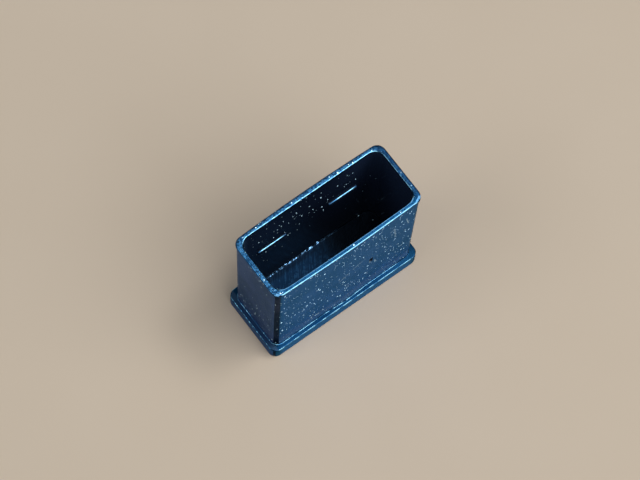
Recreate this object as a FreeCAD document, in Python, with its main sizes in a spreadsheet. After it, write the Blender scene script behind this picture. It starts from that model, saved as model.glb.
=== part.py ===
# Push-on cap for a USB type A plug: one thin-walled moulding, open at the mouth and closed at a flanged base.
#
# Frame: millimetres, +Z up towards the mouth, +X along the long side of the mouth.
# Origin: the middle of the flat underside, on which the cap stands.

import FreeCAD, Part
import Sketcher

import math
import os

# Driving sizes in millimetres and degrees: the alias that the features read, the size and what it measures.
SIZES = [
    ("plug_length", 12.0, "long side of the plug's metal shell"),
    ("plug_width", 4.5, "short side of the plug's metal shell"),
    ("plug_reach", 12.0, "how far the plug's metal shell goes into the cap"),
    ("end_clearance", 0.125, "play at each end of the plug, at the mouth"),
    ("side_clearance", 0.1, "play at each side of the plug, at the mouth"),
    ("tip_clearance", 0.1, "play between the plug's tip and the cavity's floor"),
    ("end_wall", 0.37, "thickness of the two short walls at the mouth"),
    ("side_wall", 0.32, "thickness of the two long walls at the mouth"),
    ("floor_thickness", 0.7, "thickness of the closed end"),
    ("outer_corner", 0.68, "radius of the walls' outer corners"),
    ("cavity_corner", 0.82, "radius of the cavity's corners"),
    ("side_crown", 0.06, "how far the long walls bulge outwards in the middle"),
    ("wall_draft", 0.5, "angle by which the walls lean outwards towards the mouth"),
    ("cavity_draft", 0.4, "angle by which the cavity widens towards the mouth"),
    ("flange_thickness", 1.32, "height of the flange round the base"),
    ("flange_outset", 0.3, "how far the flange stands out from the walls"),
    ("flange_corner", 0.62, "radius of the flange's corners"),
    ("flange_round", 0.1, "rounding of the flange's upper edge"),
    ("base_round", 0.15, "rounding of the flange's lower edge"),
    ("root_fillet", 0.15, "fillet between the walls and the flange"),
    ("rim_round", 0.09, "rounding of the mouth's two edges"),
    ("floor_fillet", 0.2, "fillet round the cavity's floor"),
    ("detent_spacing", 6.35, "between the middles of the two grip ridges on a long wall"),
    ("detent_length", 2.5, "length of a grip ridge"),
    ("detent_rise", 0.2, "how far a grip ridge stands out from its wall"),
    ("detent_bed", 0.1, "how deep a grip ridge is rooted in its wall"),
    ("detent_depth", 4.9, "from the mouth down to the crest of a grip ridge"),
]
SHEET = "Sizes"
NODE = "plug_cap"

# Sizes that several features share, written once in terms of the driving sizes.
CAVITY_LENGTH = f"({SHEET}.plug_length + 2 * {SHEET}.end_clearance)"
CAVITY_WIDTH = f"({SHEET}.plug_width + 2 * {SHEET}.side_clearance)"
CAVITY_DEPTH = f"({SHEET}.plug_reach + {SHEET}.tip_clearance)"
CAP_HEIGHT = f"({CAVITY_DEPTH} + {SHEET}.floor_thickness)"
MOUTH_LENGTH = f"({CAVITY_LENGTH} + 2 * {SHEET}.end_wall)"
MOUTH_WIDTH = f"({CAVITY_WIDTH} + 2 * {SHEET}.side_wall)"
WALL_HEIGHT = f"({CAP_HEIGHT} - {SHEET}.flange_thickness)"
WALL_LEAN = f"({WALL_HEIGHT} * tan({SHEET}.wall_draft * 1 deg))"
FLANGE_LENGTH = f"({MOUTH_LENGTH} + 2 * ({SHEET}.flange_outset - {WALL_LEAN}))"
FLANGE_WIDTH = f"({MOUTH_WIDTH} + 2 * ({SHEET}.side_crown + {SHEET}.flange_outset - {WALL_LEAN}))"
DETENT_WALL = f"({CAVITY_WIDTH} / 2 - {SHEET}.detent_depth * tan({SHEET}.cavity_draft * 1 deg))"

# Radii that share a narrow ledge or wall top, each kept to its part of that width.
ROOT_PART, EDGE_PART, RIM_PART = 0.55, 0.4, 0.45
ROOT_FILLET = f"min({SHEET}.root_fillet, {ROOT_PART} * {SHEET}.flange_outset)"
FLANGE_ROUND = f"min({SHEET}.flange_round, {EDGE_PART} * {SHEET}.flange_outset)"
RIM_ROUND = f"min({SHEET}.rim_round, {RIM_PART} * {SHEET}.side_wall, {RIM_PART} * {SHEET}.end_wall)"

# Sketcher's numbers for the ends and centre of a piece, and for a sketch's own origin and axes.
START, END, CENTRE = 1, 2, 3
ORIGIN = (-1, 1)
ACROSS, UPRIGHT = -1, -2

# How closely a face has to lie at the height that it is looked up by.
HEIGHT_TOLERANCE = 1e-4

HALF_TURN = 180


def make_sheet(doc):
    """The spreadsheet of driving sizes, one to a row."""
    sheet = doc.addObject("Spreadsheet::Sheet", SHEET)
    for row, (alias, size, meaning) in enumerate(SIZES, start=1):
        sheet.set(f"A{row}", alias)
        sheet.set(f"B{row}", str(size))
        sheet.set(f"C{row}", meaning)
        sheet.setAlias(f"B{row}", alias)
    doc.recompute()
    return sheet


def measure(sheet, expression):
    """What an expression of the driving sizes comes to, in millimetres."""
    result = sheet.evalExpression(expression)
    return float(getattr(result, "Value", result))


def base_plane(body, role):
    """One of the body's own origin planes."""
    return next(plane for plane in body.Origin.OriginFeatures if plane.Role == role)


def new_sketch(body, name, **offsets):
    """A level sketch, moved from the body's origin along x, y and z by expressions of the driving sizes."""
    sketch = body.newObject("Sketcher::SketchObject", name)
    sketch.AttachmentSupport = [(base_plane(body, "XY_Plane"), "")]
    sketch.MapMode = "FlatFace"
    for axis, expression in offsets.items():
        sketch.setExpression(f"AttachmentOffset.Base.{axis}", expression)
    return sketch


def constrain(sketch, kind, *places):
    """Adds a geometric constraint to a sketch."""
    sketch.addConstraint(Sketcher.Constraint(kind, *places))


def dimension(sketch, sheet, name, expression, kind, *places):
    """Adds a named dimension to a sketch and ties it to the driving sizes."""
    index = sketch.addConstraint(Sketcher.Constraint(kind, *places, measure(sheet, expression)))
    sketch.renameConstraint(index, name)
    sketch.setExpression(f"Constraints.{name}", expression)


def quarter_arc(centre_x, centre_y, radius, first_degrees):
    """A quarter circle, drawn anticlockwise."""
    circle = Part.Circle(FreeCAD.Vector(centre_x, centre_y, 0), FreeCAD.Vector(0, 0, 1), radius)
    return Part.ArcOfCircle(circle, math.radians(first_degrees), math.radians(first_degrees + 90))


def long_side(sign, half_chord, half_width, crown):
    """A long side of an outline: a straight line, or a shallow arc where it has a crown."""
    first = FreeCAD.Vector(sign * half_chord, sign * half_width, 0)
    last = FreeCAD.Vector(-sign * half_chord, sign * half_width, 0)
    if not crown:
        return Part.LineSegment(first, last)
    return Part.Arc(first, FreeCAD.Vector(0, sign * (half_width + crown), 0), last)


def short_side(sign, half_length, half_chord):
    """A short side of an outline."""
    first = FreeCAD.Vector(sign * half_length, -sign * half_chord, 0)
    return Part.LineSegment(first, FreeCAD.Vector(sign * half_length, sign * half_chord, 0))


def draw_outline(sketch, sheet, length, width, corner, crown=None):
    """A rectangle about the sketch's origin with round corners, its long sides crowned or straight."""
    half_x = measure(sheet, length) / 2
    half_y = measure(sheet, width) / 2
    radius = measure(sheet, corner)
    bulge = measure(sheet, crown) if crown else 0
    chord_x, chord_y = half_x - radius, half_y - radius
    pieces = (
        short_side(1, half_x, chord_y),
        quarter_arc(chord_x, chord_y, radius, 0),
        long_side(1, chord_x, half_y, bulge),
        quarter_arc(-chord_x, chord_y, radius, 90),
        short_side(-1, half_x, chord_y),
        quarter_arc(-chord_x, -chord_y, radius, 180),
        long_side(-1, chord_x, half_y, bulge),
        quarter_arc(chord_x, -chord_y, radius, 270),
    )
    loop = [sketch.addGeometry(piece, False) for piece in pieces]
    right, first_corner, top, second_corner, left, third_corner, bottom, last_corner = loop

    for piece, following in zip(loop, loop[1:] + loop[:1]):
        constrain(sketch, "Tangent", piece, END, following, START)
    for side in (right, left):
        constrain(sketch, "Vertical", side)
    for arc in (second_corner, third_corner, last_corner):
        constrain(sketch, "Equal", first_corner, arc)
    constrain(sketch, "Symmetric", left, START, right, START, *ORIGIN)
    dimension(sketch, sheet, "length", length, "DistanceX", left, START, right, START)
    dimension(sketch, sheet, "corner", corner, "Radius", first_corner)
    if crown:
        crown_long_sides(sketch, sheet, top, bottom, f"({length} / 2 - {corner})", width, crown)
        return
    for side in (top, bottom):
        constrain(sketch, "Horizontal", side)
    dimension(sketch, sheet, "width", width, "DistanceY", bottom, START, top, START)


def crown_long_sides(sketch, sheet, top, bottom, half_chord, width, crown):
    """Sets two facing arcs to the width at their ends and to the crown's rise over their half chord."""
    sweep = f"(({half_chord} ^ 2 + {crown} ^ 2) / (2 * {crown}))"
    for arc in (top, bottom):
        constrain(sketch, "PointOnObject", arc, CENTRE, UPRIGHT)
    constrain(sketch, "Equal", top, bottom)
    dimension(sketch, sheet, "sweep", sweep, "Radius", top)
    drop = f"({sweep} - {crown} - {width} / 2)"
    dimension(sketch, sheet, "drop", drop, "DistanceY", top, CENTRE, *ORIGIN)


def draw_detent(sketch, sheet, length, radius):
    """Half of a long rounded ridge in plan: its axis on the sketch's X axis, its crest towards -Y."""
    half = measure(sheet, length) / 2
    round_end = measure(sheet, radius)
    tip = half - round_end
    pieces = (
        Part.LineSegment(FreeCAD.Vector(half, 0, 0), FreeCAD.Vector(-half, 0, 0)),
        quarter_arc(-tip, 0, round_end, 180),
        Part.LineSegment(FreeCAD.Vector(-tip, -round_end, 0), FreeCAD.Vector(tip, -round_end, 0)),
        quarter_arc(tip, 0, round_end, 270),
    )
    axis, first_end, crest, last_end = (sketch.addGeometry(piece, False) for piece in pieces)

    constrain(sketch, "Coincident", axis, END, first_end, START)
    constrain(sketch, "Tangent", first_end, END, crest, START)
    constrain(sketch, "Tangent", crest, END, last_end, START)
    constrain(sketch, "Coincident", last_end, END, axis, START)
    constrain(sketch, "PointOnObject", axis, START, ACROSS)
    constrain(sketch, "Symmetric", axis, START, axis, END, UPRIGHT)
    for arc in (first_end, last_end):
        constrain(sketch, "PointOnObject", arc, CENTRE, ACROSS)
    constrain(sketch, "Equal", first_end, last_end)
    dimension(sketch, sheet, "length", length, "DistanceX", axis, END, axis, START)
    dimension(sketch, sheet, "radius", radius, "Radius", first_end)


def make_flange(body, sheet):
    """The thick foot round the closed end."""
    outline = new_sketch(body, "FlangeOutline")
    draw_outline(outline, sheet, FLANGE_LENGTH, FLANGE_WIDTH, f"{SHEET}.flange_corner")
    flange = body.newObject("PartDesign::Pad", "Flange")
    flange.Profile = outline
    flange.setExpression("Length", f"{SHEET}.flange_thickness")


def make_walls(body, sheet):
    """The block that the walls are hollowed from, sketched at the mouth and narrowing down to the flange."""
    outline = new_sketch(body, "WallOutline", z=CAP_HEIGHT)
    draw_outline(
        outline, sheet, MOUTH_LENGTH, MOUTH_WIDTH, f"{SHEET}.outer_corner", f"{SHEET}.side_crown"
    )
    walls = body.newObject("PartDesign::Pad", "Walls")
    walls.Profile = outline
    walls.Reversed = True
    walls.setExpression("Length", WALL_HEIGHT)
    walls.setExpression("TaperAngle", f"-{SHEET}.wall_draft")


def make_cavity(body, sheet):
    """The socket for the plug, cut from the mouth to the floor and narrowing on the way."""
    outline = new_sketch(body, "CavityOutline", z=CAP_HEIGHT)
    draw_outline(
        outline, sheet, CAVITY_LENGTH, CAVITY_WIDTH, f"{SHEET}.cavity_corner", f"{SHEET}.side_crown"
    )
    cavity = body.newObject("PartDesign::Pocket", "Cavity")
    cavity.Profile = outline
    cavity.setExpression("Length", CAVITY_DEPTH)
    cavity.setExpression("TaperAngle", f"-{SHEET}.cavity_draft")


def make_detents(body, sheet):
    """Four grip ridges on the long walls, which snap into the windows of the plug's shell."""
    plan = new_sketch(
        body,
        "DetentPlan",
        x=f"{SHEET}.detent_spacing / 2",
        y=f"{DETENT_WALL} + {SHEET}.detent_bed",
        z=f"{CAP_HEIGHT} - {SHEET}.detent_depth",
    )
    draw_detent(plan, sheet, f"{SHEET}.detent_length", f"({SHEET}.detent_rise + {SHEET}.detent_bed)")
    ridge = body.newObject("PartDesign::Revolution", "Detent")
    ridge.Profile = plan
    ridge.ReferenceAxis = (plan, ["H_Axis"])
    ridge.Angle = HALF_TURN
    ridge.Midplane = True
    body.Document.recompute()

    copies = body.newObject("PartDesign::MultiTransform", "DetentCopies")
    copies.Originals = [ridge]
    mirrors = []
    for name, role in (("AlongMirror", "YZ_Plane"), ("AcrossMirror", "XZ_Plane")):
        mirror = body.newObject("PartDesign::Mirrored", name)
        mirror.MirrorPlane = (base_plane(body, role), [""])
        mirrors.append(mirror)
    copies.Transformations = mirrors
    body.Tip = copies


def level_face(shape, height, facing, loops):
    """The level face at a height that faces up (1) or down (-1) and has that many loops of edges."""
    for face in shape.Faces:
        box = face.BoundBox
        level = max(abs(box.ZMin - height), abs(box.ZMax - height)) < HEIGHT_TOLERANCE
        if level and len(face.Wires) == loops and face.normalAt(0, 0).z * facing > 0:
            return face
    raise RuntimeError(f"no level face with {loops} loops at height {height}")


def edge_names(shape, edges):
    """The names by which a feature refers to some of its base shape's edges."""
    return [
        f"Edge{number}"
        for number, edge in enumerate(shape.Edges, start=1)
        if any(edge.isSame(wanted) for wanted in edges)
    ]


def round_edges(body, name, radius, pick_edges):
    """Rounds the edges that pick_edges finds on the body's newest feature."""
    body.Document.recompute()
    base = body.Tip
    fillet = body.newObject("PartDesign::Fillet", name)
    fillet.Base = (base, edge_names(base.Shape, pick_edges(base.Shape)))
    fillet.setExpression("Radius", radius)


def make_rounds(body, sheet):
    """The moulding's soft edges, each loop found on the flat face that it bounds."""
    ledge_height = measure(sheet, f"{SHEET}.flange_thickness")
    floor_height = measure(sheet, f"{SHEET}.floor_thickness")
    mouth_height = measure(sheet, CAP_HEIGHT)

    def ledge_outside(shape):
        return level_face(shape, ledge_height, 1, 2).OuterWire.Edges

    def ledge_inside(shape):
        outside = ledge_outside(shape)
        ledge = level_face(shape, ledge_height, 1, 2)
        return [edge for edge in ledge.Edges if not any(edge.isSame(other) for other in outside)]

    def underside(shape):
        return level_face(shape, 0, -1, 1).Edges

    def mouth_land(shape):
        return level_face(shape, mouth_height, 1, 2).Edges

    def cavity_floor(shape):
        return level_face(shape, floor_height, 1, 1).Edges

    round_edges(body, "RootFillet", ROOT_FILLET, ledge_inside)
    round_edges(body, "FlangeRound", FLANGE_ROUND, ledge_outside)
    round_edges(body, "BaseRound", f"{SHEET}.base_round", underside)
    round_edges(body, "RimRound", RIM_ROUND, mouth_land)
    round_edges(body, "FloorFillet", f"{SHEET}.floor_fillet", cavity_floor)


def check_model(doc, body):
    """Stops before anything is written if a feature failed or the moulding isn't one hollow solid."""
    failed = [item.Name for item in doc.Objects if {"Invalid", "Error"} & set(item.State)]
    if failed:
        raise RuntimeError(f"features failed: {failed}")
    shape = body.Shape
    if shape.isNull() or not shape.isValid() or len(shape.Solids) != 1:
        raise RuntimeError("the cap isn't one valid solid")
    if doc.Cavity.Shape.Volume >= doc.Walls.Shape.Volume:
        raise RuntimeError("the cavity wasn't cut")
    if doc.DetentCopies.Shape.Volume <= doc.Detent.Shape.Volume:
        raise RuntimeError("the grip ridges weren't mirrored")


def main():
    doc = FreeCAD.newDocument("PlugCap")
    sheet = make_sheet(doc)
    body = doc.addObject("PartDesign::Body", "PlugCapBody")
    body.Label = NODE
    make_flange(body, sheet)
    make_walls(body, sheet)
    make_cavity(body, sheet)
    make_detents(body, sheet)
    make_rounds(body, sheet)
    doc.recompute()
    check_model(doc, body)

    os.makedirs("parts", exist_ok=True)
    body.Shape.exportStep(f"parts/{body.Label}.step")
    box = body.Shape.BoundBox
    print(f"{body.Label}: {box.XLength:.2f} x {box.YLength:.2f} x {box.ZLength:.2f} mm,", end=" ")
    print(f"{body.Shape.Volume:.1f} mm3, {len(body.Shape.Faces)} faces")


main()
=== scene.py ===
# %% [markdown]
# # A push-on cap for a USB plug
# The object is one small dark moulding: a thin-walled socket, open at the top, on a thick flanged foot.
# The measured model is loaded first and stays as it is. Everything below dresses it for the render.

# %% Load the measured model
import math

import bmesh
import bpy
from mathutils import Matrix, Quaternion, Vector


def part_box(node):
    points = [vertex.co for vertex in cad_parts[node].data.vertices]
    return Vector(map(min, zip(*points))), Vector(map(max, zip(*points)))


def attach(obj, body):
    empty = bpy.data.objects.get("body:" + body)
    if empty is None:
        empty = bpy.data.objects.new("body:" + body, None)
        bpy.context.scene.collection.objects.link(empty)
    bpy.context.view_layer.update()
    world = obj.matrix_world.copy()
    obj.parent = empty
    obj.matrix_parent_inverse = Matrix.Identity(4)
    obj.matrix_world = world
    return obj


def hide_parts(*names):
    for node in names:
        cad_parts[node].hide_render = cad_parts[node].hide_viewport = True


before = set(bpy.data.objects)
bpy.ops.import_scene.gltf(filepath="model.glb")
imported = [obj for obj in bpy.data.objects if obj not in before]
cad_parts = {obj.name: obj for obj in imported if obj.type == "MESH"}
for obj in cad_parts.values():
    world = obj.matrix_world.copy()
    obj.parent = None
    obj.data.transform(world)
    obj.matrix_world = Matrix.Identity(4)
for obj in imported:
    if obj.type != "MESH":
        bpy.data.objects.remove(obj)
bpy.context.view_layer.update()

MM = 0.001
box_low, box_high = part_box("plug_cap")
print("measured box, mm:", [round(side / MM, 2) for side in box_high - box_low])

# %% [markdown]
# ## The camera
# A long lens looks down on the cap from its near left corner. The place, the aim and the small roll of the
# camera come from fitting the cap's known edges to the photograph, so they are given as plain sizes here.

# %% Place the camera
CAMERA_PLACE = Vector((-52.3, -58.6, 225.1)) * MM
CAMERA_AIM = Vector((0.149, 0.876, 6.4)) * MM
CAMERA_ROLL = math.radians(5.13)
LENS_MM = 180


def add_camera():
    """The camera at the photograph's viewing angle."""
    bpy.ops.object.camera_add(location=CAMERA_PLACE)
    camera = bpy.context.object
    camera.name = "photo_camera"
    aim = (CAMERA_AIM - CAMERA_PLACE).to_track_quat("-Z", "Y")
    camera.rotation_mode = "QUATERNION"
    camera.rotation_quaternion = aim @ Quaternion((0, 0, 1), CAMERA_ROLL)
    camera.data.lens = LENS_MM
    camera.data.clip_start = MM
    bpy.context.scene.camera = camera
    return camera


bpy.ops.object.select_all(action="DESELECT")
camera = add_camera()
print(camera.name, "stands", round((CAMERA_PLACE - CAMERA_AIM).length / MM), "mm from the cap")

# %% [markdown]
# ## The floor
# A plain pale floor keeps the attention on the cap. One wide sheet is enough for that, and a faint
# cloudiness keeps it from being one flat colour. Two small helpers for shader nodes are first needed here.

# %% Lay the floor
FLOOR_SIZE = 4.0
FLOOR_PALE, FLOOR_DEEP = (0.64, 0.54, 0.43, 1), (0.60, 0.50, 0.39, 1)
FLOOR_CLOUDS_PER_METRE = 60
FLOOR_ROUGHNESS, FLOOR_GLOSS = 0.9, 0.1


def add_node(tree, kind, inputs=None, **settings):
    """A new node, with some of its settings and unlinked inputs filled in."""
    made = tree.nodes.new(kind)
    for name, value in settings.items():
        setattr(made, name, value)
    for name, value in (inputs or {}).items():
        made.inputs[name].default_value = value
    return made


def feed(tree, target, **sources):
    """Links outputs to a node's inputs by name, an underscore standing for a space."""
    for name, source in sources.items():
        tree.links.new(source, target.inputs[name.replace("_", " ")])


def add_floor():
    """A wide level sheet under the cap, with a faint cloudiness so that it isn't one flat colour."""
    bpy.ops.mesh.primitive_plane_add(size=FLOOR_SIZE)
    floor = bpy.context.object
    floor.name = "floor"
    paint = bpy.data.materials.new("floor_paint")
    paint.use_nodes = True
    tree = paint.node_tree
    shader = tree.nodes["Principled BSDF"]
    shader.inputs["Roughness"].default_value = FLOOR_ROUGHNESS
    shader.inputs["Specular IOR Level"].default_value = FLOOR_GLOSS
    coordinates = add_node(tree, "ShaderNodeTexCoord")
    clouds = add_node(tree, "ShaderNodeTexNoise", {"Scale": FLOOR_CLOUDS_PER_METRE})
    ramp = add_node(tree, "ShaderNodeValToRGB")
    for stop, colour in zip(ramp.color_ramp.elements, (FLOOR_DEEP, FLOOR_PALE)):
        stop.color = colour
    feed(tree, clouds, Vector=coordinates.outputs["Object"])
    feed(tree, ramp, Fac=clouds.outputs["Fac"])
    feed(tree, shader, Base_Color=ramp.outputs["Color"])
    floor.data.materials.append(paint)
    return floor


bpy.ops.object.select_all(action="DESELECT")
floor = add_floor()
print("laid a", floor.name, "of", FLOOR_SIZE, "m")

# %% [markdown]
# ## The light
# Soft light shows the rounds of the cap without hard shadows. The largest softbox stands in front of the
# near long wall, because its reflection draws the bright lines along the rim and the foot. A weaker one
# lifts the left end out of the dark. A small lamp above the far right reaches through the mouth to the left
# half of the cavity's floor.

# %% Hang the lamps
SKY_COLOUR, SKY_STRENGTH = (0.86, 0.93, 1.0, 1), 0.18
# Each lamp's name, azimuth, elevation, distance and side in metres, and watts.
# An azimuth of 0 is in front, and 90 is on the right.
LAMPS = [
    ("front_softbox", 25, 55, 0.50, 0.55, 2.0),
    ("left_fill", -105, 42, 0.50, 0.30, 0.5),
    ("mouth_lamp", 72, 67, 0.40, 0.08, 0.22),
]


def add_softbox(name, azimuth, elevation, distance, side, watts):
    """A square lamp that faces the cap."""
    turn = math.radians(azimuth)
    rise = math.radians(elevation)
    away = Vector((math.sin(turn) * math.cos(rise), -math.cos(turn) * math.cos(rise), math.sin(rise)))
    bpy.ops.object.light_add(type="AREA", location=away * distance + CAMERA_AIM)
    lamp = bpy.context.object
    lamp.name = name
    lamp.rotation_mode = "QUATERNION"
    lamp.rotation_quaternion = away.to_track_quat("Z", "Y")
    lamp.data.shape = "RECTANGLE"
    lamp.data.size = side
    lamp.data.size_y = side
    lamp.data.energy = watts
    return lamp


def light_sky():
    """An even, slightly cool light from all round."""
    world = bpy.data.worlds.new("sky")
    world.use_nodes = True
    background = world.node_tree.nodes["Background"]
    background.inputs["Color"].default_value = SKY_COLOUR
    background.inputs["Strength"].default_value = SKY_STRENGTH
    bpy.context.scene.world = world


light_sky()
lamps = [add_softbox(*lamp) for lamp in LAMPS]
bpy.context.scene.view_settings.view_transform = "Standard"
print("hung", [lamp.name for lamp in lamps])

# %% [markdown]
# ## Three rounded blocks
# A moulded cap is a flange, a block of walls and the cavity that the core pin leaves. Each one starts as a
# cube of its real size with rounded upright edges. All three are cut at the same places along their length,
# so their outlines have equal numbers of points and can be bridged to each other later. All of this is
# modelled in millimetres, a size at which the tools' own tolerances are small enough.

# %% Write down the sizes
CAP_HEIGHT = box_high.z / MM
FLANGE_LENGTH, FLANGE_WIDTH = (box_high - box_low).xy / MM
FLANGE_TOP = 1.32
FLOOR_TOP = 0.70
MOUTH_LENGTH, MOUTH_WIDTH = 12.90, 5.30
CAVITY_LENGTH, CAVITY_WIDTH = 12.25, 4.70
FLANGE_CORNER, WALL_CORNER, CAVITY_CORNER = 0.62, 0.68, 0.82
END_LEAN, SIDE_LEAN, CAVITY_LEAN = 0.150, 0.090, 0.020
NEAR_CROWN, FAR_CROWN, INNER_CROWN = 0.10, 0.11, 0.07
CROWN_RUN_OUT = 0.7
CORNER_STEPS = 10
RIDGE_SPACING, RIDGE_LENGTH = 6.35, 2.5
END_CUT = 5.1
TINY = 1e-4

ridge_ends = [
    side * (RIDGE_SPACING / 2 + end * RIDGE_LENGTH / 2) for side in (-1, 1) for end in (-1, 1)
]
CUTS = sorted([-END_CUT, 0.0, END_CUT] + ridge_ends)
print("cuts along the cap, mm:", [round(place, 3) for place in CUTS])

# %% Make the tools that select and cut
def pick(piece, kind, wanted):
    """In edit mode, selects just the vertices, edges or faces for which wanted says yes."""
    bpy.ops.mesh.select_mode(type=kind)
    bpy.ops.mesh.select_all(action="DESELECT")
    mesh = bmesh.from_edit_mesh(piece.data)
    elements = {"VERT": mesh.verts, "EDGE": mesh.edges, "FACE": mesh.faces}[kind]
    chosen = [element for element in elements if wanted(element)]
    for element in chosen:
        element.select_set(True)
    mesh.select_flush_mode()
    bmesh.update_edit_mesh(piece.data)
    return len(chosen)


def is_upright(edge):
    """An edge that rises from one height to another."""
    return abs(edge.verts[0].co.z - edge.verts[1].co.z) > TINY


def cut_across(places):
    """Cuts the whole mesh in edit mode by planes across its length."""
    for place in places:
        bpy.ops.mesh.select_all(action="SELECT")
        bpy.ops.mesh.bisect(plane_co=(place, 0, 0), plane_no=(1, 0, 0), threshold=TINY)


print("mesh tools:", [tool.__name__ for tool in (pick, is_upright, cut_across)])

# %% Make the foot, the walls and the cavity
def crown_sides(block, near_crown, far_crown):
    """Pulls the cut lines of both long sides outwards, most in the middle, so that the sides are bowed."""
    half_chord = max(CUTS) + CROWN_RUN_OUT
    for place in CUTS:
        share = 1 - (place / half_chord) ** 2
        for side, crown in ((-1, near_crown), (1, far_crown)):
            pick(block, "VERT", lambda v: abs(v.co.x - place) < TINY and v.co.y * side > 0)
            bpy.ops.transform.translate(value=(0, side * crown * share, 0))


def rounded_block(name, length, width, corner, bottom, top, leans=(0, 0), crowns=None):
    """A block between two heights with rounded upright edges, narrower at its foot and bowed if asked."""
    bpy.ops.object.select_all(action="DESELECT")
    bpy.ops.mesh.primitive_cube_add(
        size=1, location=(0, 0, (bottom + top) / 2), scale=(length, width, top - bottom)
    )
    block = bpy.context.object
    block.name = name
    bpy.ops.object.transform_apply(location=True, rotation=False, scale=True)
    bpy.ops.object.mode_set(mode="EDIT")
    pick(block, "EDGE", is_upright)
    bpy.ops.mesh.bevel(offset=corner, segments=CORNER_STEPS, affect="EDGES")
    cut_across(CUTS)
    pick(block, "VERT", lambda v: v.co.z < bottom + TINY)
    narrow = ((length - 2 * leans[0]) / length, (width - 2 * leans[1]) / width, 1)
    bpy.ops.transform.resize(value=narrow, center_override=(0, 0, 0))
    if crowns:
        crown_sides(block, *crowns)
    bpy.ops.object.mode_set(mode="OBJECT")
    return block


foot = rounded_block("foot", FLANGE_LENGTH, FLANGE_WIDTH, FLANGE_CORNER, 0, FLANGE_TOP)
walls = rounded_block(
    "walls", MOUTH_LENGTH, MOUTH_WIDTH, WALL_CORNER, FLANGE_TOP, CAP_HEIGHT,
    (END_LEAN, SIDE_LEAN), (NEAR_CROWN, FAR_CROWN),
)
cavity = rounded_block(
    "cavity", CAVITY_LENGTH, CAVITY_WIDTH, CAVITY_CORNER, FLOOR_TOP, CAP_HEIGHT,
    (CAVITY_LEAN, CAVITY_LEAN), (INNER_CROWN, 0),
)
print("faces:", {block.name: len(block.data.polygons) for block in (foot, walls, cavity)})

# %% [markdown]
# ## A lip, and open ends
# The mouth of the cap turns out a little at its top, so the block of walls is widened there above a level
# cut. The blocks then lose the faces at which they will be joined. Of two outlines that will meet, one is
# lifted for now: outlines at one height can be paired the wrong way round.

# %% Flare the lip and open the blocks
LIP_DEPTH, LIP_END_FLARE, LIP_SIDE_FLARE = 0.40, 0.15, 0.10
BRIDGE_LIFT = 1.0


def pick_level(piece, kind, height):
    """In edit mode, selects what lies wholly at one height."""
    def at_height(element):
        verts = [element] if kind == "VERT" else element.verts
        return all(abs(v.co.z - height) < TINY for v in verts)

    return pick(piece, kind, at_height)


def open_block(block, height, lift):
    """Deletes a block's flat faces at a height and lifts the open edge that is left."""
    bpy.ops.object.select_all(action="DESELECT")
    bpy.context.view_layer.objects.active = block
    bpy.ops.object.mode_set(mode="EDIT")
    pick_level(block, "FACE", height)
    bpy.ops.mesh.delete(type="FACE")
    pick_level(block, "VERT", height)
    bpy.ops.transform.translate(value=(0, 0, lift))
    bpy.ops.object.mode_set(mode="OBJECT")


def flare_lip(block, end_flare, side_flare, depth):
    """Widens a block's top, from a level cut a little below it, so that the mouth ends in a slight lip."""
    bpy.ops.object.select_all(action="DESELECT")
    bpy.context.view_layer.objects.active = block
    bpy.ops.object.mode_set(mode="EDIT")
    bpy.ops.mesh.select_all(action="SELECT")
    bpy.ops.mesh.bisect(plane_co=(0, 0, CAP_HEIGHT - depth), plane_no=(0, 0, 1), threshold=TINY)
    pick_level(block, "VERT", CAP_HEIGHT)
    wider = (1 + 2 * end_flare / MOUTH_LENGTH, 1 + 2 * side_flare / MOUTH_WIDTH, 1)
    bpy.ops.transform.resize(value=wider, center_override=(0, 0, 0))
    bpy.ops.object.mode_set(mode="OBJECT")


flare_lip(walls, LIP_END_FLARE, LIP_SIDE_FLARE, LIP_DEPTH)
for block, height, lift in (
    (foot, FLANGE_TOP, 0),
    (walls, FLANGE_TOP, BRIDGE_LIFT),
    (walls, CAP_HEIGHT, 0),
    (cavity, CAP_HEIGHT, BRIDGE_LIFT),
):
    open_block(block, height, lift)
print("faces left:", {block.name: len(block.data.polygons) for block in (foot, walls, cavity)})

# %% [markdown]
# ## One closed skin
# The three open blocks are joined into one mesh. A bridge from the foot's outline to the walls' outline is
# the ledge of the flange, and a bridge from the walls to the cavity is the narrow land of the mouth. The
# skin is then closed, so recalculating its normals turns the cavity's faces towards the space inside it.

# %% Join the blocks and bridge their outlines
def join_blocks(blocks, name):
    """Joins some blocks into one piece with its own name."""
    bpy.ops.object.select_all(action="DESELECT")
    for block in blocks:
        block.select_set(True)
    bpy.context.view_layer.objects.active = blocks[0]
    bpy.ops.object.join()
    piece = bpy.context.object
    piece.name = name
    piece.data.name = name
    return piece


def bridge_at(piece, height):
    """Bridges the open outline at a height to the lifted one above it, and lowers that one again."""
    def is_open_edge(edge):
        heights = (height, height + BRIDGE_LIFT)
        levels = [min(abs(v.co.z - level) for level in heights) for v in edge.verts]
        return edge.is_boundary and max(levels) < TINY

    pick(piece, "EDGE", is_open_edge)
    bpy.ops.mesh.bridge_edge_loops()
    pick_level(piece, "VERT", height + BRIDGE_LIFT)
    bpy.ops.transform.translate(value=(0, 0, -BRIDGE_LIFT))


cap = join_blocks([walls, foot, cavity], "cap_moulding")
bpy.ops.object.mode_set(mode="EDIT")
bridge_at(cap, FLANGE_TOP)
bridge_at(cap, CAP_HEIGHT)
bpy.ops.mesh.select_all(action="SELECT")
bpy.ops.mesh.normals_make_consistent(inside=False)
open_edges = sum(edge.is_boundary for edge in bmesh.from_edit_mesh(cap.data).edges)
bpy.ops.object.mode_set(mode="OBJECT")
print("open edges left:", open_edges)

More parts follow.
